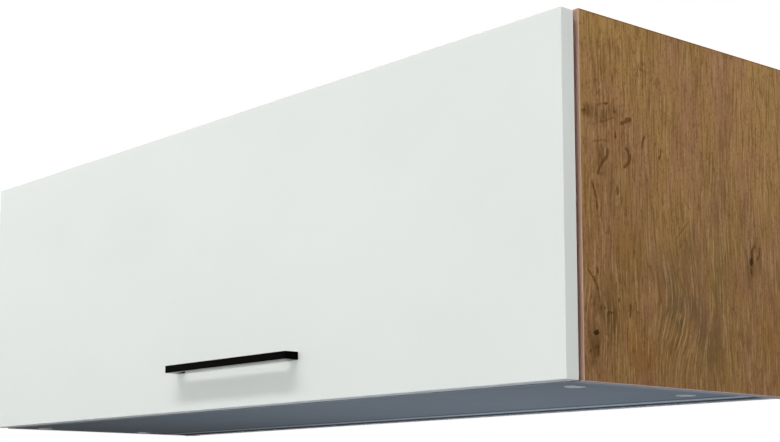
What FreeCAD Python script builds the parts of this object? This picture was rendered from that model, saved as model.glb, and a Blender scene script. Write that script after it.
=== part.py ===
import FreeCAD, Part
import math
import os
from FreeCAD import Vector

# Lift-up wall cabinet, one metre wide: an oak-decor carcass under a white flap that swings up on two
# concealed gooseneck hinges and is carried by a gas strut at each side.  X runs along the width, the
# front looks to -Y, +Z is up.  Lengths are millimetres.  While building, heights are counted from the
# underside; every piece is finally set down so that the origin lies on the back of the wall rail.

# Carcass
WIDTH = 1000.0
HEIGHT = 320.0
DEPTH = 300.0
BOARD = 16.0
BAND = 0.8
BAND_EDGE_R = 0.5
REAR_RECESS = 16.0
HARDBOARD = 3.0
HARDBOARD_PROUD = 1.0
GROOVE_DEPTH = 8.0
GROOVE_CLEARANCE = 0.1

# Flap
FLAP_GAP = 4.0
FLAP_REVEAL_SIDE = 2.0
FLAP_REVEAL_TOP = 2.0
FLAP_REVEAL_BOTTOM = 0.5
FLAP_EDGE_R = 0.7

# Handle
HANDLE_X = 36.0
HANDLE_HEIGHT_UP = 47.0
HANDLE_LENGTH = 214.0
HANDLE_BAR = 8.0
HANDLE_PROJECTION = 17.0
HANDLE_LEG = 14.0
HANDLE_EDGE_R = 0.5

# Concealed hinges
HINGE_FROM_SIDE = 120.0
CUP_R = 17.5
CUP_FROM_EDGE = 20.5
CUP_DEPTH = 11.5
CUP_WALL = 0.9
CUP_FLOOR = 0.7
CUP_CHEEK = 2.0
CUP_SCREW_X = 24.0
CUP_SCREW_DROP = 5.5
FLANGE = 1.0
PIVOT_IN = 7.0
PIVOT_FROM_EDGE = 7.5
PIN_R = 1.5
RUNNING_CLEARANCE = 0.05
NECK_HALF = 4.0
NECK_THICK = 3.0
NECK_BEND_R = 6.5
PLATE_SETBACK = 37.0
PLATE_SPACING = 32.0
PLATE_THICK = 6.0
PLATE_WING = 2.0
PLATE_START = 22.0
PLATE_LENGTH = 42.0
PLATE_SCREW_LENGTH = 13.0
ARM_SHEET = 1.5
ARM_HALF = 8.7
ARM_LENGTH = 46.0
ARM_FIX_IN = 56.0
ARM_ADJUST_IN = 44.0

# Gas struts
STRUT_FROM_SIDE = 13.0
STRUT_FIXED_IN = 190.0
STRUT_FIXED_DOWN = 48.0
STRUT_FLAP_IN = 14.0
STRUT_FLAP_DOWN = 30.0
STRUT_SCREW_REACH = 12.0
BRACKET_SCREW_REACH = 6.5
BRACKET_SCREW_IN = 18.0
TUBE_R = 7.5
TUBE_WALL = 0.8
TUBE_START = 12.0
ROD_R = 3.0
ROD_REACH = 100.0
ROD_SHOWING = 7.0
ROD_NECK = 12.0
EYE_R = 6.0
EYE_THICK = 6.0
SIDE_PLAY = 0.3

# Fittings
CAM_R = 7.5
CAM_IN = 24.0
CAM_DEEP = 12.8
CAM_ROWS = (34.0, 188.0)
BOLT_R = 3.0
BOLT_IN = 11.0
DOWEL_ROWS = (66.0, 236.0)
DOWEL_R = 4.0
DOWEL_LENGTH = 28.0
DOWEL_IN = 10.0
DOWEL_ROOM = 0.5
COVER_R = 9.0
COVER_THICK = 1.0
BUFFER_IN = 30.0
BUFFER_R = 5.0
SCREW_R = 1.75
SCREW_HEAD_R = 3.6
SCREW_LENGTH = 11.0

# Suspension
RAIL_DROP = 60.0
RAIL_END_GAP = 4.0
RAIL_SHEET = 2.0
RAIL_HALF_FLANGE = 9.0
RAIL_RISE = 24.0
RAIL_OFFSET = 7.0
RAIL_HOLE_R = 3.5
RAIL_HOLE_SPACING = 600.0
HOOK_THICK = 3.0
HOOK_LIP = 13.0
CASE_WIDTH = 18.0
CASE_DEPTH = 44.0
CASE_HEIGHT = 62.0
CASE_CLEARANCE = 4.0
CASE_SCREW_ROWS = (9.0, 32.0)
CASE_SCREW_LENGTH = 13.5
ADJUST_ROWS = (24.0, 42.0)
ADJUST_SCREW_LENGTH = 18.0
BOSS_DROP = 6.0
BOSS_RISE = 7.0

# Derived places
FRONT = -DEPTH
SIDE_INNER = WIDTH / 2 - BOARD
FLAP_BACK = FRONT - FLAP_GAP
FLAP_FRONT = FLAP_BACK - BOARD
FLAP_TOP = HEIGHT - FLAP_REVEAL_TOP
FLAP_HALF = WIDTH / 2 - FLAP_REVEAL_SIDE
BACK_REAR = -REAR_RECESS
BACK_FRONT = BACK_REAR - HARDBOARD
TOP_UNDER = HEIGHT - BOARD
HINGE_X = WIDTH / 2 - HINGE_FROM_SIDE
PLATE_UNDER = TOP_UNDER - PLATE_THICK
ARM_UNDER = PLATE_UNDER - ARM_SHEET
ARM_START = FRONT + PLATE_START
PIVOT_Y = FLAP_BACK - PIVOT_IN
PIVOT_Z = FLAP_TOP - PIVOT_FROM_EDGE
CUP_Z = FLAP_TOP - CUP_FROM_EDGE
CHEEK_INNER = NECK_HALF + SIDE_PLAY
CHEEK_OUTER = CHEEK_INNER + CUP_CHEEK
STRUT_X = SIDE_INNER - STRUT_FROM_SIDE
STRUT_Y = FRONT + STRUT_FIXED_IN
STRUT_Z = HEIGHT - STRUT_FIXED_DOWN
STRUT_FLAP_Y = FRONT + STRUT_FLAP_IN
STRUT_FLAP_Z = HEIGHT - STRUT_FLAP_DOWN
STRUT_LENGTH = math.hypot(STRUT_FLAP_Y - STRUT_Y, STRUT_FLAP_Z - STRUT_Z)
STRUT_TILT = math.degrees(math.atan2(STRUT_FLAP_Z - STRUT_Z, STRUT_Y - STRUT_FLAP_Y))
TUBE_LENGTH = STRUT_LENGTH - TUBE_START - ROD_SHOWING - ROD_NECK
RAIL_UP = HEIGHT - RAIL_DROP
HOOK_UNDER = RAIL_UP + RAIL_RISE
HOOK_X = SIDE_INNER - CASE_WIDTH / 2
CASE_TOP = TOP_UNDER - CASE_CLEARANCE
CASE_BASE = CASE_TOP - CASE_HEIGHT
CASE_INNER = SIDE_INNER - CASE_WIDTH
CASE_FRONT = BACK_FRONT - CASE_DEPTH

AXES = {"x": Vector(1, 0, 0), "y": Vector(0, 1, 0), "z": Vector(0, 0, 1)}


def block(x0, x1, y0, y1, z0, z1):
    return Part.makeBox(x1 - x0, y1 - y0, z1 - z0, Vector(x0, y0, z0))


def rod(axis, x, y, z, radius, length):
    start = Vector(x, y, z)
    direction = AXES[axis]
    if length < 0:
        direction = direction * -1
    return Part.makeCylinder(radius, abs(length), start, direction)


def cone(axis, x, y, z, r0, r1, length):
    direction = AXES[axis]
    if length < 0:
        direction = direction * -1
    return Part.makeCone(r0, r1, abs(length), Vector(x, y, z), direction)


def join(pieces):
    return pieces[0].fuse(pieces[1:]).removeSplitter()


def cut(body, tools):
    return body.cut(tools)


def mirrored(shape):
    return shape.mirror(Vector(0, 0, 0), Vector(1, 0, 0))


def save(name, solids):
    if not isinstance(solids, list):
        solids = [solids]
    shape = solids[0] if len(solids) == 1 else Part.makeCompound(solids)
    shape = shape.copy()
    shape.translate(Vector(0, 0, -RAIL_UP))
    shape.exportStep("parts/" + name + ".step")


def save_pair(name, right):
    save(name + "_right", right)
    save(name + "_left", mirrored(right))


def both_sides(shapes):
    return shapes + [mirrored(shape) for shape in shapes]


# A screw with a low round head.  The head's underside sits at the given point and the shank runs from
# there along the signed axis to a short pointed tip.
def screw(axis, sign, x, y, z, head_r, head_h, shank_r, length):
    head = rod(axis, x, y, z, head_r, -sign * head_h)
    tip = shank_r * 1.2
    shank = rod(axis, x, y, z, shank_r, sign * (length - tip))
    end = Vector(x, y, z) + AXES[axis] * (sign * (length - tip))
    point = cone(axis, end.x, end.y, end.z, shank_r, shank_r * 0.25, sign * tip)
    return join([head, shank, point])


# ---------------------------------------------------------------- carcass

# The side board carries the groove for the back, blind bores for cam bolts and dowels, and pilot holes
# for the hanger and the strut mount.  Its front edge is closed by a thin band of the same decor.
def side_board():
    board = block(SIDE_INNER, WIDTH / 2, FRONT + BAND, 0, 0, HEIGHT)
    groove = block(SIDE_INNER - 1, SIDE_INNER + GROOVE_DEPTH, BACK_FRONT - GROOVE_CLEARANCE,
                   BACK_REAR + GROOVE_CLEARANCE, -1, HEIGHT + 1)
    bores = [groove]
    for level in (BOARD / 2, HEIGHT - BOARD / 2):
        for row in CAM_ROWS:
            bores.append(rod("x", SIDE_INNER, FRONT + row, level, BOLT_R, BOLT_IN))
        for row in DOWEL_ROWS:
            bores.append(rod("x", SIDE_INNER, FRONT + row, level, DOWEL_R, DOWEL_IN + DOWEL_ROOM))
    for y, z in hanger_screw_places():
        bores.append(rod("x", SIDE_INNER, y, z, 2.5, 10))
    for y, z in strut_screw_places():
        bores.append(rod("x", SIDE_INNER, y, z, SCREW_R, SCREW_LENGTH))
    return cut(board, bores)


def front_band(x0, x1, z0, z1):
    band = block(x0, x1, FRONT, FRONT + BAND, z0, z1)
    long_axis = 0 if x1 - x0 > z1 - z0 else 2
    edges = []
    for edge in band.Edges:
        a, b = edge.Vertexes[0].Point, edge.Vertexes[1].Point
        at_front = abs(a.y - FRONT) < 1e-6 and abs(b.y - FRONT) < 1e-6
        if at_front and abs(a[long_axis] - b[long_axis]) > 50:
            edges.append(edge)
    return band.makeFillet(BAND_EDGE_R, edges)


# Top and bottom are the same board turned over: cams are let into the outer face, the bolt and dowel
# bores run in from the ends at half thickness.
def flat_board(outer, level):
    inward = 1 if outer == 0 else -1
    z0 = 0 if outer == 0 else TOP_UNDER
    board = block(-SIDE_INNER, SIDE_INNER, FRONT + BAND, BACK_FRONT, z0, z0 + BOARD)
    bores = []
    for row in CAM_ROWS:
        x = SIDE_INNER - CAM_IN
        bores.append(rod("z", x, FRONT + row, outer, CAM_R, inward * CAM_DEEP))
        bores.append(rod("x", x, FRONT + row, level, DOWEL_R, CAM_IN))
    deep = DOWEL_LENGTH - DOWEL_IN + DOWEL_ROOM
    for row in DOWEL_ROWS:
        bores.append(rod("x", SIDE_INNER - deep, FRONT + row, level, DOWEL_R, deep))
    return cut(board, both_sides(bores))


# A cam disc is let into the board, a bolt in the side board hooks into it, and a moulded cap covers it.
def cam_joint(outer, level, row):
    inward = 1 if outer == 0 else -1
    x = SIDE_INNER - CAM_IN
    y = FRONT + row
    rim = 0.8
    face = outer + inward * rim
    disc = rod("z", x, y, face, CAM_R, inward * (CAM_DEEP - rim))
    throat = DOWEL_R - 0.4
    slot = block(x - 1, x + CAM_R + 1, y - throat, y + throat, level - throat, level + throat)
    stem_r = 2.4
    socket = rod("z", x, y, face, stem_r, inward * 2.4)
    disc = cut(disc, [slot, socket])
    thread = rod("x", SIDE_INNER, y, level, BOLT_R, BOLT_IN)
    shank = rod("x", SIDE_INNER, y, level, BOLT_R - 1.0, -(CAM_IN - 2))
    ball = rod("x", x + 1.0, y, level, BOLT_R + 0.2, 2.2)
    bolt = join([thread, shank, ball])
    plate = rod("z", x, y, outer, COVER_R, -inward * COVER_THICK)
    stem = rod("z", x, y, outer, stem_r, inward * 3.0)
    cover = join([plate, stem])
    return disc, bolt, cover


def build_carcass():
    save_pair("side_panel", side_board())
    save("bottom_panel", flat_board(0, BOARD / 2))
    top = flat_board(HEIGHT, HEIGHT - BOARD / 2)
    pilots = [rod("z", x, y, TOP_UNDER, 2.0, 11) for x, y in plate_screw_places()]
    save("top_panel", cut(top, both_sides(pilots)))
    save_pair("side_edge_band", front_band(SIDE_INNER, WIDTH / 2, 0, HEIGHT))
    save("bottom_edge_band", front_band(-SIDE_INNER, SIDE_INNER, 0, BOARD))
    save("top_edge_band", front_band(-SIDE_INNER, SIDE_INNER, TOP_UNDER, HEIGHT))
    half = SIDE_INNER + GROOVE_DEPTH - 0.5
    back = block(-half, half, BACK_FRONT, BACK_REAR, -HARDBOARD_PROUD, HEIGHT - 0.5)
    slot = block(HOOK_X - HOOK_THICK, HOOK_X + HOOK_THICK, BACK_FRONT - 1, BACK_REAR + 1,
                 HOOK_UNDER - 2, HOOK_UNDER + 12)
    save("back_panel", cut(back, both_sides([slot])))
    discs, bolts, covers, dowels = [], [], [], []
    for outer, level in ((0, BOARD / 2), (HEIGHT, HEIGHT - BOARD / 2)):
        for row in CAM_ROWS:
            disc, bolt, cover = cam_joint(outer, level, row)
            discs.append(disc)
            bolts.append(bolt)
            covers.append(cover)
        for row in DOWEL_ROWS:
            x = SIDE_INNER + DOWEL_IN - DOWEL_LENGTH
            dowels.append(rod("x", x, FRONT + row, level, DOWEL_R, DOWEL_LENGTH))
    save("cam_discs", both_sides(discs))
    save("cam_bolts", both_sides(bolts))
    save("cam_covers", both_sides(covers))
    save("wood_dowels", both_sides(dowels))


# ---------------------------------------------------------------- suspension

def hanger_screw_places():
    return [(BACK_FRONT - CASE_WIDTH / 2, CASE_BASE + row) for row in CASE_SCREW_ROWS]


# The wall rail is a joggled strip: its lower flange lies on the wall, its upper flange stands off so
# that the hooks can drop in behind it.  Two round holes take the wall screws.
def wall_rail():
    half = SIDE_INNER - RAIL_END_GAP
    low = RAIL_UP - RAIL_HALF_FLANGE
    bend = RAIL_UP + RAIL_HALF_FLANGE
    lower = block(-half, half, -RAIL_SHEET, 0, low, bend)
    web = block(-half, half, -RAIL_OFFSET, 0, bend - RAIL_SHEET, bend)
    upper = block(-half, half, -RAIL_OFFSET, -RAIL_OFFSET + RAIL_SHEET, bend - RAIL_SHEET, HOOK_UNDER)
    rail = join([lower, web, upper])
    holes = [rod("y", x, -RAIL_SHEET - 1, RAIL_UP, RAIL_HOLE_R, RAIL_SHEET + 2)
             for x in (-RAIL_HOLE_SPACING / 2, RAIL_HOLE_SPACING / 2)]
    return cut(rail, holes)


# Each hanger is a moulded case on the side board with a steel hook inside.  The hook's arm passes
# through the back and its lip hangs behind the rail; two screws reach it through the case's front.
def hanger():
    case = block(CASE_INNER, SIDE_INNER, CASE_FRONT, BACK_FRONT, CASE_BASE, CASE_TOP)
    edges = [e for e in case.Edges if e.Length > 60 and abs(e.BoundBox.XMin - CASE_INNER) < 0.01
             and abs(e.BoundBox.YMax - CASE_FRONT) < 0.01]
    case = case.makeFillet(2.5, edges)
    hollow = block(CASE_INNER + 4, SIDE_INNER - 4, CASE_FRONT + 3, BACK_FRONT + 1,
                   CASE_BASE + 4, CASE_TOP - 4)
    tools = [hollow]
    adjust = [(HOOK_X, CASE_BASE + row) for row in ADJUST_ROWS]
    for x, z in adjust:
        tools.append(rod("y", x, CASE_FRONT - 1, z, 2.5, 6))
    for y, z in hanger_screw_places():
        tools.append(rod("x", SIDE_INNER - 5, y, z, 2.5, 6))
    case = cut(case, tools)
    half = HOOK_THICK / 2
    arm = block(HOOK_X - half, HOOK_X + half, CASE_FRONT + 8, -1.5, HOOK_UNDER, HOOK_UNDER + 10)
    lip = block(HOOK_X - half, HOOK_X + half, -1.5 - HOOK_THICK, -1.5, HOOK_UNDER - HOOK_LIP, HOOK_UNDER + 1)
    boss_base = CASE_BASE + ADJUST_ROWS[0] - BOSS_DROP
    boss_top = CASE_BASE + ADJUST_ROWS[1] + BOSS_RISE
    middle = CASE_FRONT + CASE_DEPTH / 2
    web = block(HOOK_X - half, HOOK_X + half, CASE_FRONT + 8, middle + 1, boss_base - 2, HOOK_UNDER + 1)
    boss = block(HOOK_X - 4.5, HOOK_X + 4.5, CASE_FRONT + 10, middle - 1, boss_base, boss_top)
    hook = join([arm, lip, web, boss])
    seats = [rod("y", x, CASE_FRONT + 7, z, 2.5, 12) for x, z in adjust]
    hook = cut(hook, seats)
    turning = [screw("y", 1, x, CASE_FRONT, z, 4.2, 1.6, 2.5, ADJUST_SCREW_LENGTH) for x, z in adjust]
    fixing = [screw("x", 1, SIDE_INNER - 4, y, z, 4.0, 1.6, 2.5, CASE_SCREW_LENGTH)
              for y, z in hanger_screw_places()]
    return case, hook, turning, fixing


def build_suspension():
    save("wall_rail", wall_rail())
    case, hook, turning, fixing = hanger()
    save_pair("hanger_case", case)
    save_pair("hanger_hook", hook)
    save("hanger_adjust_screws", both_sides(turning))
    save("hanger_case_screws", both_sides(fixing))


# ---------------------------------------------------------------- hinges

def plate_screw_places():
    y = FRONT + PLATE_SETBACK
    return [(HINGE_X - PLATE_SPACING / 2, y), (HINGE_X + PLATE_SPACING / 2, y)]


def hinge_plate():
    body = block(HINGE_X - 7, HINGE_X + 7, ARM_START, ARM_START + PLATE_LENGTH, PLATE_UNDER, TOP_UNDER)
    y = FRONT + PLATE_SETBACK
    reach = PLATE_SPACING / 2 + 4.0
    end_r = 6.5
    under = TOP_UNDER - PLATE_WING
    wings = block(HINGE_X - reach, HINGE_X + reach, y - end_r, y + end_r, under, TOP_UNDER)
    ends = [rod("z", x, y, under, end_r, PLATE_WING) for x in (HINGE_X - reach, HINGE_X + reach)]
    plate = join([body, wings] + ends)
    holes = [rod("z", x, sy, under - 1, 2.0, PLATE_WING + 2) for x, sy in plate_screw_places()]
    for y in (FRONT + ARM_FIX_IN, FRONT + ARM_ADJUST_IN):
        holes.append(rod("z", HINGE_X, y, PLATE_UNDER - 1, 2.5, 6))
    return cut(plate, holes)


# The gooseneck: a channel clamped under the plate narrows to a curved neck that dips below the top
# board, bends up into the cup and ends in the eye that turns on the pivot pin.
def hinge_arm():
    x0, x1 = HINGE_X - NECK_HALF, HINGE_X + NECK_HALF
    bend_y = PIVOT_Y + NECK_BEND_R
    mid_z = PLATE_UNDER - NECK_THICK / 2
    bend_z = mid_z + NECK_BEND_R
    half = NECK_THICK / 2
    outer, inner = NECK_BEND_R + half, NECK_BEND_R - half
    slant = math.sqrt(0.5)

    def at(y, z):
        return Vector(x0, y, z)

    low = mid_z - half
    high = mid_z + half
    root_y = ARM_START + 2
    outline = [
        Part.makeLine(at(root_y, low), at(bend_y, low)),
        Part.Arc(at(bend_y, low), at(bend_y - outer * slant, bend_z - outer * slant),
                 at(bend_y - outer, bend_z)).toShape(),
        Part.makeLine(at(bend_y - outer, bend_z), at(bend_y - outer, PIVOT_Z)),
        Part.makeLine(at(bend_y - outer, PIVOT_Z), at(bend_y - inner, PIVOT_Z)),
        Part.makeLine(at(bend_y - inner, PIVOT_Z), at(bend_y - inner, bend_z)),
        Part.Arc(at(bend_y - inner, bend_z), at(bend_y - inner * slant, bend_z - inner * slant),
                 at(bend_y, high)).toShape(),
        Part.makeLine(at(bend_y, high), at(root_y, high)),
        Part.makeLine(at(root_y, high), at(root_y, low)),
    ]
    neck = Part.Face(Part.Wire(outline)).extrude(Vector(x1 - x0, 0, 0))
    eye = rod("x", x0, PIVOT_Y, PIVOT_Z, 2.9, x1 - x0)
    tip = FRONT + 8
    outline = [(-NECK_HALF, tip), (NECK_HALF, tip), (ARM_HALF, ARM_START), (-ARM_HALF, ARM_START)]
    corners = [Vector(HINGE_X + x, y, ARM_UNDER) for x, y in outline + outline[:1]]
    shoulder = Part.Face(Part.makePolygon(corners)).extrude(Vector(0, 0, ARM_SHEET))
    end = ARM_START + ARM_LENGTH
    base = block(HINGE_X - ARM_HALF, HINGE_X + ARM_HALF, ARM_START, end, ARM_UNDER, PLATE_UNDER)
    wall_top = TOP_UNDER - PLATE_WING - 0.2
    walls = [block(HINGE_X + x, HINGE_X + x + ARM_SHEET, ARM_START, end, ARM_UNDER, wall_top)
             for x in (-ARM_HALF, ARM_HALF - ARM_SHEET)]
    arm = join([neck, eye, shoulder, base] + walls)
    holes = [rod("x", x0 - 1, PIVOT_Y, PIVOT_Z, PIN_R + RUNNING_CLEARANCE, x1 - x0 + 2)]
    for y in (FRONT + ARM_FIX_IN, FRONT + ARM_ADJUST_IN):
        holes.append(rod("z", HINGE_X, y, ARM_UNDER - 1, 2.5, 4))
    return cut(arm, holes)


def cup_screw_places():
    return [(HINGE_X + side * CUP_SCREW_X, CUP_Z - CUP_SCREW_DROP) for side in (-1, 1)]


# The cup is pressed into a bore in the flap.  Two cheeks stand inside it and hold the pivot pin; its
# flange lies on the flap's back with a wing at each side for the screws.
def hinge_cup():
    pot = rod("y", HINGE_X, FLAP_BACK - CUP_DEPTH, CUP_Z, CUP_R, CUP_DEPTH)
    flange = rod("y", HINGE_X, FLAP_BACK, CUP_Z, CUP_R + 1.5, FLANGE)
    wing_z = CUP_Z - CUP_SCREW_DROP
    wing_r = 7.0
    wings = block(HINGE_X - CUP_SCREW_X, HINGE_X + CUP_SCREW_X, FLAP_BACK, FLAP_BACK + FLANGE,
                  wing_z - wing_r, wing_z + wing_r)
    ends = [rod("y", x, FLAP_BACK, z, wing_r, FLANGE) for x, z in cup_screw_places()]
    shell = join([pot, flange, wings] + ends)
    inner_r = CUP_R - CUP_WALL
    hollow = rod("y", HINGE_X, FLAP_BACK - CUP_DEPTH + CUP_FLOOR, CUP_Z, inner_r,
                 CUP_DEPTH - CUP_FLOOR + FLANGE + 1)
    shell = cut(shell, [hollow])
    cheeks = []
    for side in (-1, 1):
        a = HINGE_X + side * CHEEK_INNER
        b = HINGE_X + side * CHEEK_OUTER
        cheek = block(min(a, b), max(a, b), FLAP_BACK - CUP_DEPTH, FLAP_BACK - 0.5,
                      PIVOT_Z - 5.5, CUP_Z + CUP_R)
        cheeks.append(cheek.common(pot))
    cup = join([shell] + cheeks)
    pin = rod("x", HINGE_X - CHEEK_OUTER, PIVOT_Y, PIVOT_Z, PIN_R, 2 * CHEEK_OUTER)
    holes = [rod("y", x, FLAP_BACK - 1, z, SCREW_R, FLANGE + 2) for x, z in cup_screw_places()]
    cup = cut(cup, [pin] + holes)
    screws = [screw("y", -1, x, FLAP_BACK + FLANGE, z, SCREW_HEAD_R, 1.2, SCREW_R, SCREW_LENGTH)
              for x, z in cup_screw_places()]
    return cup, screws, pin


def build_hinges():
    save_pair("hinge_plate", hinge_plate())
    save_pair("hinge_arm", hinge_arm())
    screws = [screw("z", 1, x, y, TOP_UNDER - PLATE_WING, SCREW_HEAD_R, 1.4, 2.0, PLATE_SCREW_LENGTH)
              for x, y in plate_screw_places()]
    save("hinge_plate_screws", both_sides(screws))
    fixing = screw("z", 1, HINGE_X, FRONT + ARM_FIX_IN, ARM_UNDER, 4.0, 2.0, 2.5, 6.3)
    adjusting = screw("z", 1, HINGE_X, FRONT + ARM_ADJUST_IN, ARM_UNDER, 3.0, 0.8, 2.5, 5.3)
    save("hinge_arm_screws", both_sides([fixing, adjusting]))
    cup, screws, pin = hinge_cup()
    save_pair("hinge_cup", cup)
    save("hinge_cup_screws", both_sides(screws))
    save("hinge_pivot_pins", both_sides([pin]))


# ---------------------------------------------------------------- flap

def handle_screw_places():
    reach = HANDLE_LENGTH / 2 - HANDLE_LEG / 2
    return [(HANDLE_X - reach, HANDLE_HEIGHT_UP), (HANDLE_X + reach, HANDLE_HEIGHT_UP)]


def bracket_screw_places():
    return [(STRUT_X - BRACKET_SCREW_IN, STRUT_FLAP_Z + side * BRACKET_SCREW_REACH) for side in (-1, 1)]


# The flap is one board with softly rounded edges; its four edge bands are the outer strips of it.
def build_flap():
    whole = block(-FLAP_HALF, FLAP_HALF, FLAP_FRONT, FLAP_BACK, FLAP_REVEAL_BOTTOM, FLAP_TOP)
    whole = whole.makeFillet(FLAP_EDGE_R, whole.Edges)
    x1 = FLAP_HALF - BAND
    z0, z1 = FLAP_REVEAL_BOTTOM + BAND, FLAP_TOP - BAND
    big = 2 * WIDTH
    bores = [rod("y", HINGE_X, FLAP_BACK - CUP_DEPTH, CUP_Z, CUP_R, CUP_DEPTH + 1)]
    for x, z in cup_screw_places():
        bores.append(rod("y", x, FLAP_BACK, z, SCREW_R, -SCREW_LENGTH))
    for x, z in bracket_screw_places():
        bores.append(rod("y", x, FLAP_BACK, z, SCREW_R, -SCREW_LENGTH))
    bores = both_sides(bores)
    for x, z in handle_screw_places():
        bores.append(rod("y", x, FLAP_FRONT - 1, z, 2.0, BOARD + 2))
    core = whole.common(block(-x1, x1, -big, big, z0, z1))
    save("flap_panel", cut(core, bores))
    save("flap_band_right", whole.common(block(x1, big, -big, big, -big, big)))
    save("flap_band_left", whole.common(block(-big, -x1, -big, big, -big, big)))
    save("flap_band_top", whole.common(block(-x1, x1, -big, big, z1, big)))
    save("flap_band_bottom", whole.common(block(-x1, x1, -big, big, -big, z0)))
    buffers = [cone("y", SIDE_INNER - BUFFER_IN, FLAP_BACK, BOARD / 2, BUFFER_R, BUFFER_R - 0.8, FLAP_GAP)]
    save("door_buffers", both_sides(buffers))


# The handle is a square bar bent back into a foot at each end, so fingers hook in behind it.
def build_handle():
    x0, x1 = HANDLE_X - HANDLE_LENGTH / 2, HANDLE_X + HANDLE_LENGTH / 2
    half = HANDLE_BAR / 2
    y0 = FLAP_FRONT - HANDLE_PROJECTION
    bow = block(x0, x1, y0, FLAP_FRONT, HANDLE_HEIGHT_UP - half, HANDLE_HEIGHT_UP + half)
    long_edges = [e for e in bow.Edges if abs(e.BoundBox.YMax - y0) < 0.01]
    bow = bow.makeFillet(HANDLE_EDGE_R, long_edges)
    gap = block(x0 + HANDLE_LEG, x1 - HANDLE_LEG, y0 + HANDLE_BAR, FLAP_FRONT + 1,
                HANDLE_HEIGHT_UP - half - 1, HANDLE_HEIGHT_UP + half + 1)
    inner_edges = [e for e in gap.Edges if abs(e.BoundBox.YMax - y0 - HANDLE_BAR) < 0.01
                   and e.BoundBox.ZLength > 5]
    gap = gap.makeFillet(2.0, inner_edges)
    seats = [rod("y", x, FLAP_FRONT, z, 2.0, -9) for x, z in handle_screw_places()]
    save("handle_bow", cut(bow, [gap] + seats))
    screws = [screw("y", -1, x, FLAP_BACK, z, 4.2, 1.8, 2.0, BOARD + 8.5)
              for x, z in handle_screw_places()]
    save("handle_screws", screws)


# ---------------------------------------------------------------- gas struts

def strut_screw_places():
    return [(STRUT_Y - STRUT_SCREW_REACH, STRUT_Z), (STRUT_Y + STRUT_SCREW_REACH, STRUT_Z)]


# A strut is laid out along -Y from its fixed pivot and then tilted into line with the flap's pivot.
def laid(shape):
    turned = shape.copy()
    turned.rotate(Vector(0, STRUT_Y, STRUT_Z), Vector(1, 0, 0), -STRUT_TILT)
    return turned


def strut_pieces():
    half = EYE_THICK / 2
    x0, x1 = STRUT_X - half, STRUT_X + half
    inner_r = TUBE_R - TUBE_WALL
    tube_end = TUBE_START + TUBE_LENGTH

    def along(distance, radius, length):
        return rod("y", STRUT_X, STRUT_Y - distance, STRUT_Z, radius, -length)

    tube = along(TUBE_START, TUBE_R, TUBE_LENGTH)
    tube = cut(tube, [along(TUBE_START + 2, inner_r, TUBE_LENGTH)])
    gland = cut(along(tube_end - 9, inner_r, 8.5), [along(tube_end - 10, ROD_R + RUNNING_CLEARANCE, 12)])
    eye = rod("x", x0, STRUT_Y, STRUT_Z, EYE_R, EYE_THICK)
    shank = block(x0, x1, STRUT_Y - TUBE_START, STRUT_Y, STRUT_Z - 4, STRUT_Z + 4)
    bore = rod("x", x0 - 1, STRUT_Y, STRUT_Z, 3.0 + RUNNING_CLEARANCE, EYE_THICK + 2)
    tube_eye = cut(join([eye, shank]), [bore])
    inner_end = STRUT_LENGTH - ROD_REACH
    piston_rod = along(inner_end, ROD_R, ROD_REACH - ROD_NECK)
    piston = cut(along(inner_end, inner_r - RUNNING_CLEARANCE, 6), [along(inner_end - 1, ROD_R, 8)])
    far_y = STRUT_Y - STRUT_LENGTH
    far_eye = rod("x", x0, far_y, STRUT_Z, EYE_R, EYE_THICK)
    far_shank = block(x0, x1, far_y, far_y + ROD_NECK, STRUT_Z - 3.6, STRUT_Z + 3.6)
    rivet = rod("x", x1, far_y, STRUT_Z, 4.6, 1.0)
    dome = cone("x", x1 + 1.0, far_y, STRUT_Z, 4.6, 3.2, 0.6)
    rod_eye = join([far_eye, far_shank, rivet, dome])
    return tube, gland, tube_eye, piston_rod, piston, rod_eye


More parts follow.
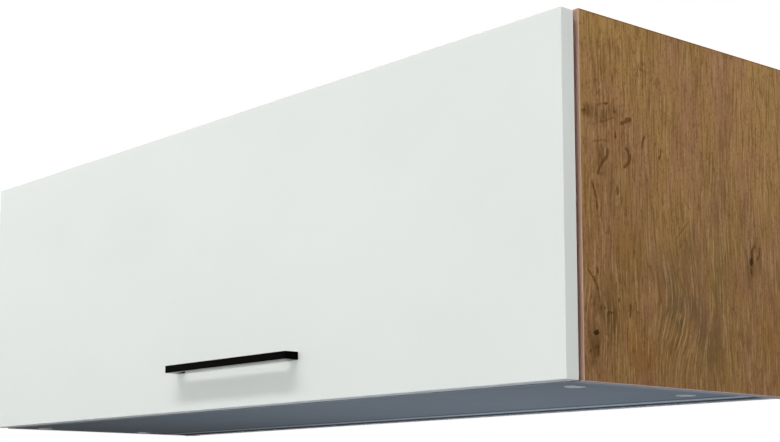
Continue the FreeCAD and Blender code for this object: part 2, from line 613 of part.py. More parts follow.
# The side mount is a plate on the side board with a shouldered stud; the flap bracket has a foot on
# the flap's back and an upright ear beside the strut's front eye, a hair's breadth clear of it.
def strut_mounts():
    half = EYE_THICK / 2
    reach = STRUT_SCREW_REACH + 6
    plate = block(SIDE_INNER - 2, SIDE_INNER, STRUT_Y - reach, STRUT_Y + reach, STRUT_Z - 9, STRUT_Z + 9)
    corners = [e for e in plate.Edges if abs(e.BoundBox.XLength - 2) < 0.01]
    plate = plate.makeFillet(5.0, corners)
    shoulder = STRUT_X + half + 0.2
    collar = rod("x", shoulder, STRUT_Y, STRUT_Z, 5.0, SIDE_INNER - 1 - shoulder)
    stud = rod("x", STRUT_X - half - 0.2, STRUT_Y, STRUT_Z, 3.0, SIDE_INNER - 1 - STRUT_X + half + 0.2)
    head = rod("x", STRUT_X - half - 0.2, STRUT_Y, STRUT_Z, 4.6, -1.4)
    mount = join([plate, collar, stud, head])
    mount = cut(mount, [rod("x", SIDE_INNER - 3, y, z, SCREW_R, 4) for y, z in strut_screw_places()])
    mount_screws = [screw("x", 1, SIDE_INNER - 2, y, z, SCREW_HEAD_R, 1.4, SCREW_R, PLATE_SCREW_LENGTH)
                    for y, z in strut_screw_places()]
    tall = BRACKET_SCREW_REACH + 5.5
    foot = block(STRUT_X - BRACKET_SCREW_IN - 8, STRUT_X - 1, FLAP_BACK, FLAP_BACK + 2,
                 STRUT_FLAP_Z - tall, STRUT_FLAP_Z + tall)
    corners = [e for e in foot.Edges if abs(e.BoundBox.YLength - 2) < 0.01]
    foot = foot.makeFillet(3.0, corners)
    ear_x = STRUT_X - half - SIDE_PLAY
    ear = block(ear_x - 2.5, ear_x, FLAP_BACK + 1, STRUT_FLAP_Y, STRUT_FLAP_Z - 7, STRUT_FLAP_Z + 7)
    ear_end = rod("x", ear_x - 2.5, STRUT_FLAP_Y, STRUT_FLAP_Z, 7.0, 2.5)
    rivet = rod("x", ear_x - 2.5, STRUT_FLAP_Y, STRUT_FLAP_Z, 4.6, -1.0)
    dome = cone("x", ear_x - 3.5, STRUT_FLAP_Y, STRUT_FLAP_Z, 4.6, 3.2, -0.6)
    bracket = join([foot, ear, ear_end, rivet, dome])
    bracket = cut(bracket, [rod("y", x, FLAP_BACK - 1, z, SCREW_R, 4) for x, z in bracket_screw_places()])
    bracket_screws = [screw("y", -1, x, FLAP_BACK + 2, z, SCREW_HEAD_R, 1.2, SCREW_R, SCREW_LENGTH)
                      for x, z in bracket_screw_places()]
    return mount, mount_screws, bracket, bracket_screws


def build_struts():
    tube, gland, tube_eye, piston_rod, piston, rod_eye = strut_pieces()
    save_pair("strut_tube", laid(tube))
    save_pair("strut_gland", laid(gland))
    save_pair("strut_tube_eye", laid(tube_eye))
    save_pair("strut_rod", laid(piston_rod))
    save_pair("strut_piston", laid(piston))
    save_pair("strut_rod_eye", laid(rod_eye))
    mount, mount_screws, bracket, bracket_screws = strut_mounts()
    save_pair("strut_side_mount", mount)
    save("strut_mount_screws", both_sides(mount_screws))
    save_pair("strut_flap_bracket", bracket)
    save("strut_bracket_screws", both_sides(bracket_screws))


os.makedirs("parts", exist_ok=True)
build_carcass()
build_suspension()
build_hinges()
build_flap()
build_handle()
build_struts()
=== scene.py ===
import math

import bpy
from mathutils import Euler, Matrix, Vector

# The lift-up wall cabinet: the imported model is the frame, and everything below dresses it.
# Metres, X along the width, the front looks to -Y, +Z up, origin on the wall behind the rail.
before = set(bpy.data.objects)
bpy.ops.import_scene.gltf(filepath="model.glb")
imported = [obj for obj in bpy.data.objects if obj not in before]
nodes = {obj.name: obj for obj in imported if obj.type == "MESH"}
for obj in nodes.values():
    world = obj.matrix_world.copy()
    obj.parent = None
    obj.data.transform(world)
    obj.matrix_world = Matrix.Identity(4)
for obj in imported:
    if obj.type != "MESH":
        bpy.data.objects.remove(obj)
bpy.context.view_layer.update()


# ---------------------------------------------------------------- side boards
# Two boards of 16 mm chipboard wrapped in a matt oak foil: the grain runs upright, with pores, flecks
# and two knots.  Their front edges carry a thin band of a lighter, pinker wood foil.
MM = 0.001


def reach(name, axis):
    """The lowest and the highest coordinate of a piece along one axis."""
    places = [corner.co[axis] for corner in nodes[name].data.vertices]
    return min(places), max(places)


side_low, side_high = reach("side_panel_right", axis=2)
side_outer = reach("side_panel_right", axis=0)[1]


def tone(r, g, b, level=1.0):
    """A colour from its screen values, 0 to 255, as the linear light that a shader takes."""
    def linear(v):
        v = v / 255
        return v / 12.92 if v <= 0.04045 else ((v + 0.055) / 1.055) ** 2.4

    return (linear(r) * level, linear(g) * level, linear(b) * level, 1.0)


class Look:
    """A procedural material, written as a short chain of named steps."""

    def __init__(self, name, rough=0.5, metal=0.0, specular=0.5):
        self.mat = bpy.data.materials.new(name)
        self.mat.use_nodes = True
        self.tree = self.mat.node_tree
        self.shader = self.tree.nodes["Principled BSDF"]
        self.shader.inputs["Roughness"].default_value = rough
        self.shader.inputs["Metallic"].default_value = metal
        self.shader.inputs["Specular IOR Level"].default_value = specular
        self.coords = self.tree.nodes.new("ShaderNodeTexCoord").outputs["Object"]
        split = self.tree.nodes.new("ShaderNodeSeparateXYZ")
        self.tree.links.new(self.coords, split.inputs[0])
        self.x, self.y, self.z = split.outputs

    def feed(self, socket, value):
        """Link an output to the socket, or set the socket to a plain value."""
        if hasattr(value, "is_linked"):
            self.tree.links.new(value, socket)
        else:
            socket.default_value = value

    def math(self, kind, a, b=0.0, c=0.0):
        node = self.tree.nodes.new("ShaderNodeMath")
        node.operation = kind
        for socket, value in zip(node.inputs, (a, b, c)):
            self.feed(socket, value)
        return node.outputs[0]

    def plus(self, a, b):
        return self.math("ADD", a, b)

    def minus(self, a, b):
        return self.math("SUBTRACT", a, b)

    def times(self, a, b):
        return self.math("MULTIPLY", a, b)

    def vector(self, x, y, z=0.0):
        node = self.tree.nodes.new("ShaderNodeCombineXYZ")
        for socket, value in zip(node.inputs, (x, y, z)):
            self.feed(socket, value)
        return node.outputs[0]

    def stretched(self, x, y, z):
        """The piece's own places, scaled to so many noise cells per metre along each axis."""
        node = self.tree.nodes.new("ShaderNodeVectorMath")
        node.operation = "MULTIPLY"
        self.feed(node.inputs[0], self.coords)
        node.inputs[1].default_value = (x, y, z)
        return node.outputs[0]

    def even(self, scale):
        return self.stretched(scale, scale, scale)

    def noise(self, where, detail=2.0, rough=0.5):
        node = self.tree.nodes.new("ShaderNodeTexNoise")
        node.inputs["Scale"].default_value = 1.0
        node.inputs["Detail"].default_value = detail
        node.inputs["Roughness"].default_value = rough
        self.feed(node.inputs["Vector"], where)
        return node.outputs[0]

    def step(self, value, low, high, to_low=0.0, to_high=1.0):
        """A soft step from one level to another, while the value goes from low to high."""
        node = self.tree.nodes.new("ShaderNodeMapRange")
        node.interpolation_type = "SMOOTHSTEP"
        self.feed(node.inputs["Value"], value)
        node.inputs["From Min"].default_value = low
        node.inputs["From Max"].default_value = high
        node.inputs["To Min"].default_value = to_low
        node.inputs["To Max"].default_value = to_high
        return node.outputs[0]

    def mix(self, factor, a, b, kind="MIX"):
        node = self.tree.nodes.new("ShaderNodeMix")
        node.data_type = "RGBA"
        node.blend_type = kind
        self.feed(node.inputs["Factor"], factor)
        self.feed(node.inputs[6], a)
        self.feed(node.inputs[7], b)
        return node.outputs[2]

    def tint(self, base, mask, amount, colour):
        return self.mix(self.times(mask, amount), base, colour)

    def colour(self, value):
        self.feed(self.shader.inputs["Base Color"], value)

    def rough(self, value):
        self.feed(self.shader.inputs["Roughness"], value)

    def bump(self, height, strength, depth):
        node = self.tree.nodes.new("ShaderNodeBump")
        node.inputs["Strength"].default_value = strength
        node.inputs["Distance"].default_value = depth
        self.feed(node.inputs["Height"], height)
        self.tree.links.new(node.outputs[0], self.shader.inputs["Normal"])

    def blobs(self, where, marks):
        """Soft ellipses, added up.  Each is its place, half width and height, lean and depth."""
        total = 0.0
        for u, v, half_u, half_v, lean, depth in marks:
            place = self.tree.nodes.new("ShaderNodeMapping")
            place.vector_type = "TEXTURE"
            self.feed(place.inputs["Vector"], where)
            place.inputs["Location"].default_value = (u * MM, v * MM, 0.0)
            place.inputs["Rotation"].default_value = (0.0, 0.0, math.radians(lean))
            place.inputs["Scale"].default_value = (half_u * MM, half_v * MM, 1.0)
            ball = self.tree.nodes.new("ShaderNodeTexGradient")
            ball.gradient_type = "SPHERICAL"
            self.tree.links.new(place.outputs[0], ball.inputs[0])
            total = self.math("MULTIPLY_ADD", ball.outputs[1], depth, total)
        return self.math("MINIMUM", total, 1.0)

    def strokes(self, where, lines):
        """Crisp pen-like lines.  Each is its half width and the places that it runs through."""
        widening = 2.2    # an ellipse fades towards its rim, so it is laid wider than it looks
        overlap = 0.62    # its half height, as a share of the stretch that it covers
        rounding = 1.4    # and what that gains at the ends, in half widths
        marks = []
        for half, *places in lines:
            for (u_a, v_a), (u_b, v_b) in zip(places, places[1:]):
                run = math.hypot(u_b - u_a, v_b - v_a)
                lean = math.degrees(math.atan2(u_a - u_b, v_b - v_a))
                marks.append(((u_a + u_b) / 2, (v_a + v_b) / 2, half * widening,
                              run * overlap + half * rounding, lean, 1.0))
        return self.step(self.blobs(where, marks), 0.20, 0.62)

    def hill(self, u, v, at_u, at_v, half_u, half_v):
        """A soft hill, and how far across and along it each place lies, in half widths and heights."""
        du = self.math("DIVIDE", self.minus(u, at_u * MM), half_u * MM)
        dv = self.math("DIVIDE", self.minus(v, at_v * MM), half_v * MM)
        distance = self.plus(self.times(du, du), self.times(dv, dv))
        return self.math("EXPONENT", self.times(distance, -1.0)), du, dv


def underneath(look):
    """1 on the faces at the cabinet's lower end, and 0 just above them."""
    return look.step(look.z, side_low + 0.2 * MM, side_low + 0.5 * MM, 1.0, 0.0)


def wear(names, look):
    """Put the look on the named CAD pieces, in every slot."""
    for name in names:
        piece = nodes[name]
        if not piece.material_slots:
            piece.data.materials.append(look.mat)
        for place in piece.material_slots:
            place.material = look.mat


def pair(name):
    return [name + "_left", name + "_right"]


# The figure of the oak, in millimetres across (Y) and along (Z) the board.  A bend is a place, its half
# width and height, and how far it spreads and slants the grain.  A soft mark is its place, half width
# and height, lean in degrees and depth, and a line as strokes() says.
OAK_BENDS = (
    (-283, -215, 18, 32, 10, 0), (-60, -130, 14, 40, 9, 0), (-270, -195, 18, 26, 6, 0),
    (-170, -215, 40, 55, 0, 26),
)
OAK_SMUDGES = (
    (-292, -27, 9, 7, 0, 1.5), (-276, -31, 24, 9, 6, 0.9), (-262, -24, 18, 9, 0, 0.6),
    (-245, -23, 12, 5, 0, 0.5), (-256, 34, 6, 12, 0, 0.9), (-246, 26, 6, 14, 20, 0.6),
    (-268, -199, 18, 15, -20, 1.0), (-262, -203, 9, 8, 0, 0.9), (-285, -231, 12, 10, 0, 1.6),
    (-284, -222, 14, 16, 0, 0.7), (-262, -212, 22, 22, 0, 0.5), (-268, -182, 22, 22, 0, 0.4),
    (-285, -245, 14, 16, 0, 0.5), (-61, -136, 9, 20, 0, 0.9), (-66, -150, 10, 14, 0, 0.6),
    (-56, -124, 9, 22, 10, 0.5), (-272, -67, 10, 20, -20, 0.5), (-238, -62, 10, 16, 0, 0.5),
)
OAK_SMOKE = (
    (-185, -165, 26, 36, 20, 0.9), (-164, -186, 34, 22, 10, 1.1), (-176, -198, 22, 12, 0, 0.8),
    (-134, -205, 22, 40, 14, 0.9), (-112, -170, 14, 90, 0, 0.7), (-128, -236, 26, 26, 0, 0.5),
    (-150, -140, 34, 44, 0, 0.35), (-118, -80, 12, 80, 0, 0.35),
)
OAK_WARM = (
    (-236, -225, 34, 36, 0, 1.0), (-215, -236, 40, 26, 0, 1.0), (-240, -150, 26, 60, 0, 0.6),
    (-255, -20, 30, 40, 0, 0.5), (-35, -205, 30, 60, 0, 0.8), (-200, -176, 10, 26, -8, 0.9),
    (-290, -120, 12, 60, 0, 0.5), (-78, -160, 12, 34, 0, 0.6),
)
OAK_ROSE = (
    (-252, -226, 16, 26, 0, 0.9), (-66, -156, 12, 18, 0, 1.3), (-150, -246, 50, 14, 0, 0.8),
    (-105, -12, 46, 50, 0, 0.6), (-196, -96, 36, 44, 0, 0.5), (-206, -188, 8, 26, -8, 0.9),
)
OAK_LIGHTS = (
    (0.7, (-186, -191), (-191, -205), (-196, -219)), (0.7, (-181, -190), (-186, -204), (-192, -220)),
    (0.8, (-173, -188), (-178, -204), (-186, -222)), (0.8, (-168, -190), (-173, -206), (-181, -226)),
    (0.7, (-164, -194), (-168, -210), (-175, -228)), (0.6, (-160, -200), (-163, -214), (-169, -230)),
    (0.6, (-155, -208), (-157, -220), (-162, -234)), (0.7, (-106, -150), (-107, -180), (-105, -214)),
    (0.6, (-100, -170), (-100, -200)), (0.6, (-70, -118), (-64, -132)), (0.6, (-57, -100), (-60, -126)),
    (0.6, (-84, -205), (-78, -222), (-80, -240)),
)
OAK_HAIRS = (
    (0.7, (-279, -21), (-272, -19), (-263, -17)), (0.8, (-278, -36), (-268, -34), (-262, -31), (-255, -28)),
    (0.8, (-284, -53), (-278, -53), (-273, -51), (-262, -50)), (0.6, (-274, -5), (-274, -14)),
    (0.6, (-258, -14), (-258, -20)), (0.8, (-198, -36), (-200, -47)),
    (0.8, (-221, -66), (-222, -72), (-220, -77)), (0.7, (-217, -79), (-217, -86)),
    (0.6, (-230, -39), (-229, -53)), (0.8, (-273, -80), (-273, -82)), (0.9, (-237, -77), (-236, -80)),
    (0.8, (-241, -106), (-241, -114)), (0.7, (-282, -122), (-281, -131)), (0.8, (-263, -122), (-266, -134)),
    (0.8, (-250, -165), (-247, -170), (-244, -175)), (0.7, (-257, -172), (-256, -178)),
    (0.8, (-288, -179), (-289, -185), (-290, -189), (-289, -198)), (0.6, (-214, -150), (-209, -160)),
    (0.7, (-188, -189), (-196, -203), (-200, -214)), (0.6, (-178, -190), (-183, -204), (-190, -220)),
    (0.6, (-166, -196), (-171, -212), (-179, -228)), (0.6, (-158, -206), (-161, -218), (-167, -232)),
    (0.7, (-92, -176), (-88, -196), (-82, -214)), (0.7, (-84, -150), (-88, -170)),
    (0.6, (-282, -252), (-280, -258)), (0.7, (-54, -104), (-52, -112), (-57, -128)),
    (0.6, (-272, -216), (-266, -222)), (0.6, (-110, -60), (-111, -84)),
    (0.6, (-176, -128), (-150, -104)), (0.6, (-46, -230), (-60, -244)),
)
OAK_STROKES = (
    (0.9, (-270, -19), (-263, -17)), (1.1, (-298, -29), (-291, -27)), (1.2, (-255, -22), (-254, -24)),
    (1.3, (-248, -33), (-241, -30), (-236, -28), (-232, -26)), (0.8, (-241, -27), (-233, -25)),
    (0.9, (-254, -40), (-254, -48)), (1.3, (-265, -57), (-266, -65), (-271, -69)),
    (1.1, (-271, -69), (-276, -76), (-278, -82)), (1.0, (-241, -53), (-238, -56), (-236, -59)),
    (1.6, (-236, -59), (-235, -63)), (1.2, (-235, -63), (-239, -68), (-245, -72)),
    (1.0, (-215, -39), (-218, -45), (-219, -51)), (0.9, (-192, -46), (-193, -53), (-194, -56)),
    (1.2, (-253, -88), (-252, -96)), (1.0, (-286, -88), (-283, -96), (-281, -104), (-279, -113)),
    (0.9, (-293, -161), (-292, -165), (-287, -171)),
    (1.0, (-287, -171), (-283, -177), (-280, -182), (-279, -193)),
    (0.9, (-281, -161), (-280, -169)), (1.1, (-254, -187), (-253, -189)),
    (1.0, (-238, -189), (-238, -198), (-240, -203)), (0.9, (-273, -195), (-272, -197)),
    (0.9, (-269, -203), (-267, -199), (-261, -201)), (0.8, (-278, -200), (-276, -194)),
    (0.9, (-293, -236), (-289, -232)), (0.8, (-280, -226), (-281, -238)), (0.9, (-286, -232), (-282, -229)),
    (1.0, (-55, -119), (-60, -124), (-61, -131)), (0.9, (-48, -120), (-48, -126), (-53, -134)),
    (0.8, (-63, -140), (-61, -148)),
)
OAK_KNOTS = (
    (-283, -218, 4.6, 2.8, 0, 1.6), (-286, -219, 4.0, 1.6, 0, 0.8), (-61, -135, 3.8, 5.2, -20, 1.4),
    (-60, -131, 2.2, 4.0, -30, 1.0), (-62, -145, 3.4, 6.0, 0, 0.45), (-272, -196, 1.8, 2.0, 0, 0.7),
    (-254, -188, 1.6, 1.8, 0, 0.6),
)
OAK_GOLDEN = tone(157, 122, 70, 1.25)
OAK_RUDDY = tone(156, 116, 80, 1.25)
OAK_PALE = tone(176, 144, 102, 1.2)
SMOKE_FILTER = (0.62, 0.67, 0.74, 1.0)


def bent_grain(look, u, v):
    """Where u would lie if the grain ran straight: it wavers, and swerves round the knots."""
    waver = look.noise(look.vector(look.times(u, 10.0), look.times(v, 4.0), 3.1))
    bent = look.math("MULTIPLY_ADD", look.minus(waver, 0.5), 12 * MM, u)
    for *mark, spread, slant in OAK_BENDS:
        near, du, dv = look.hill(u, v, *mark)
        push = look.plus(look.times(du, spread * MM), look.times(dv, slant * MM))
        bent = look.minus(bent, look.times(near, push))
    return bent


def oak(name):
    look = Look(name, rough=0.6, specular=0.05)
    u, v = look.y, look.z
    bent = bent_grain(look, u, v)

    def grain(across, along, seed, detail=2.0, rough=0.55):
        where = look.vector(look.times(bent, across), look.times(v, along), seed)
        return look.noise(where, detail, rough)

    def region(across, along, seed, detail=2.0):
        return look.noise(look.vector(look.times(u, across), look.times(v, along), seed), detail)

    def shake(across, along, seed, width, detail=2.0):
        """An uneven shift, up to half the width in millimetres either way."""
        return look.times(look.minus(region(across, along, seed, detail), 0.5), width * MM)

    # Broad clouds and streaks, and painted shade that deepens towards the lower end.
    ruddy = look.step(region(26.0, 11.0, seed=8.8, detail=3.0), 0.38, 0.62)
    base = look.mix(ruddy, OAK_GOLDEN, OAK_RUDDY)
    clouds = look.step(region(12.0, 5.0, seed=21.3), 0.40, 0.70)
    base = look.tint(base, clouds, 0.28, tone(126, 98, 56, 1.15))
    streaks = look.step(grain(60.0, 4.0, seed=1.7), 0.45, 0.70)
    base = look.tint(base, streaks, 0.28, tone(124, 92, 54, 1.15))
    # Painted shade: the oak is tinted darker towards the board's lower end.
    lower = look.step(v, side_low - 40 * MM, side_high + 20 * MM, 1.0, 0.0)
    base = look.tint(base, lower, 0.50, tone(112, 80, 44))

    # Smoky, warm and dark places lie under the grain, so that its lines still run through them.
    drift = shake(55.0, 34.0, seed=7.7, width=28, detail=3.0)
    loose = look.vector(look.plus(u, drift), look.minus(v, drift))
    base = look.mix(look.blobs(loose, OAK_SMOKE), base, SMOKE_FILTER, "MULTIPLY")
    base = look.tint(base, look.blobs(loose, OAK_WARM), 0.52, tone(142, 96, 42))
    base = look.tint(base, look.blobs(loose, OAK_ROSE), 0.24, tone(166, 122, 94))
    base = look.tint(base, look.blobs(loose, OAK_SMUDGES), 0.74, tone(90, 60, 18))

    # The grain itself: dark lines, light lines, pores in patches and a fine grit.
    lines = grain(470.0, 26.0, seed=5.2, rough=0.6)
    base = look.tint(base, look.step(lines, 0.47, 0.64), 0.49, tone(102, 71, 36))
    light_lines = look.step(grain(520.0, 34.0, seed=9.4, detail=1.0), 0.52, 0.68)
    base = look.tint(base, light_lines, 0.42, OAK_PALE)
    patches = look.step(region(30.0, 14.0, seed=4.4), 0.35, 0.65, 0.30, 1.0)
    pores = look.step(grain(480.0, 80.0, seed=14.2), 0.57, 0.68)
    base = look.tint(base, look.times(pores, patches), 0.48, tone(92, 62, 30))
    grit = look.step(region(620.0, 330.0, seed=6.5), 0.48, 0.72)
    base = look.tint(base, grit, 0.46, tone(102, 72, 40))

    # Flecks crowd towards the front edge; lines and knots lie over them with slightly ragged edges.
    ridge = look.math("ABSOLUTE", look.minus(grain(95.0, 26.0, seed=31.0), 0.5))
    gathered = look.step(region(60.0, 34.0, seed=12.9), 0.53, 0.62)
    flecks = look.times(look.step(ridge, 0.006, 0.022, 1.0, 0.0), gathered)
    flecks = look.times(flecks, look.step(u, -230 * MM, -170 * MM, 1.0, 0.35))
    base = look.tint(base, flecks, 0.42, tone(88, 54, 8))
    ragged = shake(330.0, 190.0, seed=2.6, width=4.8)
    where = look.vector(look.plus(u, ragged), look.plus(v, ragged))
    base = look.tint(base, look.strokes(where, OAK_LIGHTS), 0.34, OAK_PALE)
    base = look.tint(base, look.strokes(where, OAK_HAIRS), 0.42, tone(88, 54, 6))
    base = look.tint(base, look.strokes(where, OAK_STROKES), 0.74, tone(88, 50, 2))
    base = look.tint(base, look.step(look.blobs(where, OAK_KNOTS), 0.15, 0.80), 0.94, tone(40, 22, 2))

    # A light pink strip a few millimetres wide along the outer lower corner is a painted highlight, and
    # grey film covers the rest of that edge; along the top edge the foil's cut shows as a darker line.
    painted_highlight_width = 6 * MM
    inner = look.step(look.math("ABSOLUTE", look.x), side_outer - painted_highlight_width - 0.5 * MM,
                      side_outer - painted_highlight_width + 0.5 * MM, 1.0, 0.0)
    lower_edge_and_highlight = look.mix(inner, tone(222, 176, 164), tone(186, 189, 195))
    base = look.mix(underneath(look), base, lower_edge_and_highlight)
    top_line = look.step(v, side_high - 1.2 * MM, side_high - 0.6 * MM, 0.0, 0.7)
    base = look.mix(top_line, base, tone(92, 62, 44))
    look.colour(base)
    look.rough(look.step(lines, 0.3, 0.8, 0.54, 0.68))
    look.bump(look.minus(lines, look.times(pores, 0.6)), strength=0.35, depth=0.25 * MM)
    return look


wear(pair("side_panel"), oak("oak_side"))
band = Look("side_edge_foil", rough=0.5, specular=0.25)
band_lines = band.noise(band.stretched(500.0, 300.0, 22.0))
band_cloud = band.noise(band.stretched(30.0, 30.0, 14.0))
band_base = band.mix(band.step(band_lines, 0.35, 0.70), tone(196, 164, 148), tone(176, 142, 126))
band.colour(band.mix(band.step(band_cloud, 0.4, 0.7, 0.0, 0.5), band_base, tone(184, 150, 134)))
band.bump(band_lines, strength=0.2, depth=0.2 * MM)
wear(pair("side_edge_band"), band)

# ---------------------------------------------------------------- top, bottom and back boards
# Top and bottom have a plain grey melamine face with a very fine pebble, and bands of the same grey.  Along
# the rear of the underside a white strip runs between two painted shadow lines, with a plain darker grey
# band behind them.  The back is thin hardboard, painted pale.

# Each tone starts at so many millimetres in front of the wall and runs back to the next one's start.
# The first and the third tones are painted shadow lines; the white one between them is the strip.
REAR_BANDS_WITH_SHADOW_LINES = (
    (-74, tone(158, 160, 170)),
    (-61, tone(246, 246, 248)),
    (-42, tone(104, 106, 116)),
    (-29, tone(150, 152, 160)),
)


def board_face(name, light, dark, rough, strip=()):
    look = Look(name, rough=rough, specular=0.0)
    patch = look.noise(look.stretched(5.0, 7.0, 7.0), detail=3.0)
    pebble = look.noise(look.even(1500.0))
    base = look.mix(look.step(patch, 0.3, 0.7), dark, light)
    base = look.tint(base, look.step(pebble, 0.4, 0.7), 0.10, dark)
    # On the underside only, lay the rear bands, painted shadow lines among them.
    for start, band_tone in strip:
        begun = look.step(look.y, start * MM, (start + 1) * MM)
        base = look.mix(look.times(begun, underneath(look)), base, band_tone)
    look.colour(base)
    look.rough(look.step(pebble, 0.3, 0.7, rough - 0.05, rough + 0.06))
    look.bump(pebble, strength=0.15, depth=0.12 * MM)
    return look


grey_board = board_face("grey_melamine", tone(190, 191, 195), tone(186, 187, 191), rough=0.5,
                        strip=REAR_BANDS_WITH_SHADOW_LINES)
wear(["bottom_panel", "top_panel", "bottom_edge_band", "top_edge_band"], grey_board)
painted_back = board_face("painted_hardboard", tone(234, 234, 236), tone(231, 231, 233), rough=0.55)
wear(["back_panel"], painted_back)


# ---------------------------------------------------------------- cams, bolts and dowels
# The boards are pulled together by cast zinc cams on turned bolts, and kept in line by beech dowels.
# Small moulded covers are pressed over the cams.
def dimmed(colour, r, g, b):
    return (colour[0] * r, colour[1] * g, colour[2] * b, 1.0)


def metal(name, colour, rough, brushed, strength=0.2):
    """Plated or ground metal.  Brushed is the streaks' scale per metre along X, Y and Z."""
    look = Look(name, rough=rough, metal=1.0)
    streak = look.noise(look.stretched(*brushed), detail=3.0, rough=0.6)
    cloud = look.noise(look.even(90.0))
    darker = dimmed(colour, 0.82, 0.82, 0.83)
    base = look.mix(look.step(streak, 0.3, 0.7), darker, colour)
    look.colour(look.tint(base, look.step(cloud, 0.4, 0.7), 0.25, darker))
    look.rough(look.step(streak, 0.3, 0.7, rough - 0.06, rough + 0.08))
    look.bump(streak, strength, depth=0.08 * MM)
    return look


def moulded(name, colour, rough):
    """Injection-moulded plastic with a fine spark-eroded grain."""
    look = Look(name, rough=rough, specular=0.5)
    grain = look.noise(look.even(900.0))
    cloud = look.noise(look.even(40.0))
    look.colour(look.tint(colour, look.step(cloud, 0.35, 0.7), 0.6, dimmed(colour, 0.88, 0.88, 0.88)))
    look.rough(look.step(grain, 0.3, 0.7, rough - 0.05, rough + 0.05))
    look.bump(grain, strength=0.12, depth=0.1 * MM)
    return look


zinc = metal("zinc_plate", tone(206, 207, 210), rough=0.34, brushed=(220.0, 220.0, 220.0))
wear(["cam_covers"], moulded("cover_plastic", tone(206, 208, 211), rough=0.5))
wear(["cam_discs", "cam_bolts"], zinc)
beech = Look("beech_dowel", rough=0.6)
beech_lines = beech.noise(beech.stretched(30.0, 900.0, 900.0))
beech.colour(beech.mix(beech.step(beech_lines, 0.35, 0.7), tone(200, 165, 120), tone(178, 140, 96)))
wear(["wood_dowels"], beech)

# ---------------------------------------------------------------- suspension
# A joggled zinc-plated strip is screwed to the wall; two moulded cases in the upper rear corners hold
# steel hooks that drop behind it and are set by two screws each.
wear(["wall_rail"], metal("rail_zinc", tone(198, 200, 203), rough=0.38, brushed=(6.0, 400.0, 400.0)))
wear(pair("hanger_case"), moulded("case_plastic", tone(226, 226, 224), rough=0.45))
wear(pair("hanger_hook") + ["hanger_adjust_screws", "hanger_case_screws"], zinc)

# ---------------------------------------------------------------- flap
# One 16 mm board in a smooth white foil with softly rounded edges, faintly uneven like any foiled
# board; clear buffers on its back keep it off the carcass.
foil = Look("white_foil", rough=0.42, specular=0.08)
foil_cloud = foil.noise(foil.stretched(4.0, 4.0, 6.0), detail=3.0)
foil_grain = foil.noise(foil.even(700.0), detail=3.0, rough=0.6)
foil_base = foil.mix(foil.step(foil_cloud, 0.3, 0.7), tone(229, 234, 230), tone(226, 231, 227))
foil.colour(foil.tint(foil_base, foil.step(foil_grain, 0.45, 0.75), 0.25, tone(221, 226, 222)))
foil.rough(foil.step(foil_grain, 0.3, 0.7, 0.38, 0.47))
foil.bump(foil_grain, strength=0.10, depth=0.15 * MM)
wear(["flap_panel", "flap_band_top", "flap_band_bottom"] + pair("flap_band"), foil)
gel = Look("buffer_gel", rough=0.3, specular=0.5)
gel.shader.inputs["Transmission Weight"].default_value = 0.35
gel_cloud = gel.noise(gel.even(300.0))
gel.colour(gel.mix(gel.step(gel_cloud, 0.3, 0.7), tone(226, 228, 226), tone(206, 208, 206)))
wear(["door_buffers"], gel)

# ---------------------------------------------------------------- handle
# A square bow of die-cast metal under a deep black lacquer that mirrors the room only faintly.  Two
# screws through the flap hold its legs.
lacquer = Look("black_lacquer", rough=0.06, specular=0.016)
lacquer_grain = lacquer.noise(lacquer.even(1100.0))
lacquer_cloud = lacquer.noise(lacquer.even(60.0))
lacquer.colour(lacquer.mix(lacquer.step(lacquer_cloud, 0.3, 0.7), tone(1, 1, 2), tone(4, 4, 4)))
lacquer.rough(lacquer.step(lacquer_grain, 0.3, 0.7, 0.04, 0.09))
lacquer.bump(lacquer_grain, strength=0.06, depth=0.1 * MM)
wear(["handle_bow"], lacquer)
wear(["handle_screws"], zinc)

# ---------------------------------------------------------------- hinges
# Pressed and cast steel with bright nickel: plate and gooseneck arm under the top board, cup and
# pivot pin in the flap.
nickel = metal("hinge_nickel", tone(214, 213, 210), rough=0.30, brushed=(120.0, 120.0, 120.0),
               strength=0.03)
wear(pair("hinge_plate") + pair("hinge_arm") + pair("hinge_cup"), nickel)
wear(["hinge_plate_screws", "hinge_arm_screws", "hinge_cup_screws", "hinge_pivot_pins"], zinc)

# ---------------------------------------------------------------- gas struts
# Dark lacquered tubes with moulded glands and ground steel rods; the rods' eyes, the side mounts and
# the flap brackets are zinc plated.
tube_paint = Look("strut_lacquer", rough=0.36, specular=0.5)
tube_grain = tube_paint.noise(tube_paint.even(500.0))
tube_paint.colour(tube_paint.mix(tube_paint.step(tube_grain, 0.3, 0.7), tone(58, 59, 62), tone(70, 71, 74)))
tube_paint.rough(tube_paint.step(tube_grain, 0.3, 0.7, 0.30, 0.42))
tube_paint.bump(tube_grain, strength=0.1, depth=0.1 * MM)
ground_rod = metal("ground_rod", tone(222, 222, 224), rough=0.12, brushed=(300.0, 40.0, 300.0),
                   strength=0.05)
for side in ("left", "right"):
    wear(["strut_tube_" + side, "strut_tube_eye_" + side], tube_paint)
    wear(["strut_gland_" + side], moulded("gland_plastic_" + side, tone(30, 30, 31), rough=0.4))
    wear(["strut_rod_" + side, "strut_piston_" + side], ground_rod)
    wear(["strut_rod_eye_" + side, "strut_side_mount_" + side, "strut_flap_bracket_" + side], zinc)
wear(["strut_mount_screws", "strut_bracket_screws"], zinc)

# ---------------------------------------------------------------- floor and surround
# A wide floor lies far below the cabinet, so that the cabinet can be seen from below too.  It and the
# even surround look pale to the camera, while the light they throw back stays low, so that the
# underside lies in soft shade.
FLOOR_Z = -2.6
FLOOR_RADIUS = 15.0
SHADED_TO = 1.5       # metres from the middle, up to which the floor is at its darkest
WHITE_FROM = 12.0     # and from which it is white
SHADED_GLOW = 0.54
THROWN_BACK = 0.055
WHITE = (1.0, 1.0, 1.0, 1.0)


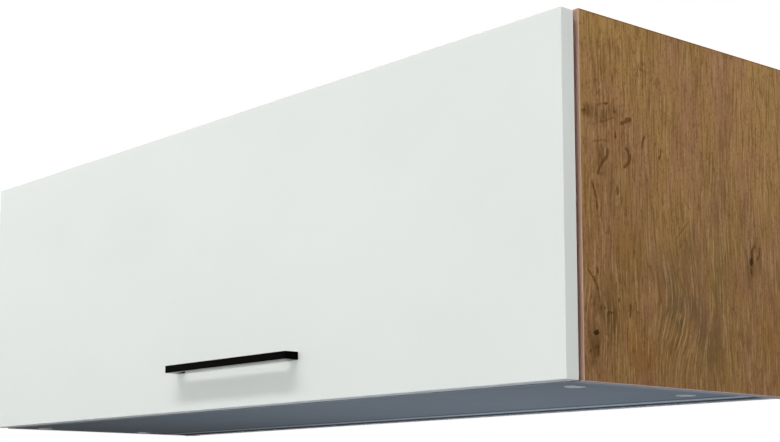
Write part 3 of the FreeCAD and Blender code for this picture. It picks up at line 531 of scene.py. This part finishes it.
def seen_directly(tree):
    """1 for what the camera sees, also by reflection or through a clear piece, and 0 for light."""
    ray = tree.nodes.new("ShaderNodeLightPath")
    total = ray.outputs["Is Camera Ray"]
    for other in ("Is Glossy Ray", "Is Transmission Ray"):
        larger = tree.nodes.new("ShaderNodeMath")
        larger.operation = "MAXIMUM"
        tree.links.new(total, larger.inputs[0])
        tree.links.new(ray.outputs[other], larger.inputs[1])
        total = larger.outputs[0]
    return total


def choose(tree, factor, a, b, target):
    node = tree.nodes.new("ShaderNodeMixShader")
    tree.links.new(factor, node.inputs[0])
    tree.links.new(a, node.inputs[1])
    tree.links.new(b, node.inputs[2])
    tree.links.new(node.outputs[0], target)


bpy.ops.mesh.primitive_circle_add(vertices=96, radius=FLOOR_RADIUS, fill_type="NGON",
                                  location=(0, 0, FLOOR_Z))
floor = bpy.context.object
floor.name = "floor"
ground = Look("floor_pale", rough=0.9, specular=0.1)
ground_cloud = ground.noise(ground.even(0.6))
ground.colour(ground.mix(ground.step(ground_cloud, 0.3, 0.7), tone(150, 150, 150), tone(146, 146, 147)))
glow = ground.tree.nodes.new("ShaderNodeEmission")
glow.inputs["Color"].default_value = WHITE
squares = ground.plus(ground.times(ground.x, ground.x), ground.times(ground.y, ground.y))
from_middle = ground.math("SQRT", squares)
ground.feed(glow.inputs["Strength"], ground.step(from_middle, SHADED_TO, WHITE_FROM, SHADED_GLOW, 1.0))
shown = ground.tree.nodes.new("ShaderNodeAddShader")
ground.tree.links.new(glow.outputs[0], shown.inputs[0])
ground.tree.links.new(ground.shader.outputs[0], shown.inputs[1])
dim = ground.tree.nodes.new("ShaderNodeBsdfDiffuse")
dim.inputs["Color"].default_value = (THROWN_BACK, THROWN_BACK, THROWN_BACK, 1.0)
choose(ground.tree, seen_directly(ground.tree), dim.outputs[0], shown.outputs[0],
       ground.tree.nodes["Material Output"].inputs["Surface"])
floor.data.materials.append(ground.mat)

# The surround lights the cabinet from near the horizon, and has faded where the sine of its height
# reaches FADED_AT.
HORIZON_LIGHT = 0.90
OVERHEAD_LIGHT = 0.11
FADED_AT = 0.30
world = bpy.data.worlds.new("studio")
bpy.context.scene.world = world
world.use_nodes = True
sky = world.node_tree
lighting = sky.nodes["Background"]
lighting.inputs["Color"].default_value = WHITE
direction = sky.nodes.new("ShaderNodeTexCoord")
parts = sky.nodes.new("ShaderNodeSeparateXYZ")
sky.links.new(direction.outputs["Generated"], parts.inputs[0])
fade = sky.nodes.new("ShaderNodeMapRange")
fade.inputs["From Max"].default_value = FADED_AT
fade.inputs["To Min"].default_value = HORIZON_LIGHT
fade.inputs["To Max"].default_value = OVERHEAD_LIGHT
sky.links.new(parts.outputs[2], fade.inputs["Value"])
sky.links.new(fade.outputs[0], lighting.inputs["Strength"])
plain = sky.nodes.new("ShaderNodeBackground")
plain.inputs["Color"].default_value = WHITE
plain.inputs["Strength"].default_value = 1.0
choose(sky, seen_directly(sky), lighting.outputs[0], plain.outputs[0],
       sky.nodes["World Output"].inputs["Surface"])


# ---------------------------------------------------------------- lamps
# A box high in front throws the handle's shadow, and one straight ahead fills the front.  Others light
# the two sides and the back, and a faint cool one lies under the right end.
def soft_box(name, place, target, wide, tall, watts, colour=(1.0, 1.0, 1.0)):
    lamp = bpy.data.lights.new(name, "AREA")
    lamp.shape = "RECTANGLE"
    lamp.size = wide
    lamp.size_y = tall
    lamp.energy = watts
    lamp.color = colour
    holder = bpy.data.objects.new(name, lamp)
    bpy.context.scene.collection.objects.link(holder)
    holder.location = place
    holder.rotation_euler = (Vector(target) - Vector(place)).to_track_quat("-Z", "Y").to_euler()
    holder.visible_camera = False


soft_box("high_box", (0.0, -2.48, 4.10), (0.0, -0.32, -0.1), wide=5.6, tall=0.55, watts=157.0)
soft_box("front_box", (0.35, -4.3, -0.15), (0.05, -0.32, -0.12), wide=3.0, tall=0.50, watts=76.0)
soft_box("right_box", (3.5, -0.2, 0.8), (0.5, -0.15, -0.1), wide=1.8, tall=1.2, watts=43.0)
soft_box("left_box", (-3.5, -0.2, 0.8), (-0.5, -0.15, -0.1), wide=1.8, tall=1.2, watts=43.0)
soft_box("rear_box", (0.0, 3.6, 0.9), (0.0, 0.0, -0.1), wide=2.4, tall=1.2, watts=66.0)
soft_box("low_box", (0.28, -0.17, -1.0), (0.26, -0.17, -0.26), wide=0.2, tall=0.2, watts=1.6,
         colour=(0.68, 0.85, 1.0))

# ---------------------------------------------------------------- camera
# It stands in front of the right end, a little below the underside, and looks slightly up, as the
# photograph was taken.  Its turns are in degrees, from a level look straight at the front.
CAMERA_PLACE = (1.3557, -1.28871, -0.36908)
LOOKS_UP = 6.32546
LEANS = -0.15521
TURNS = 50.95731
eye = bpy.data.cameras.new("camera")
eye.sensor_width = 36.0
eye.lens = 71.589
eye.shift_x = 0.10383
eye.shift_y = 0.15256
camera = bpy.data.objects.new("camera", eye)
bpy.context.scene.collection.objects.link(camera)
angles = Euler([math.radians(angle) for angle in (90.0 + LOOKS_UP, LEANS, TURNS)])
camera.matrix_world = Matrix.LocRotScale(Vector(CAMERA_PLACE), angles, None)
bpy.context.scene.camera = camera
bpy.context.scene.view_settings.view_transform = "Standard"
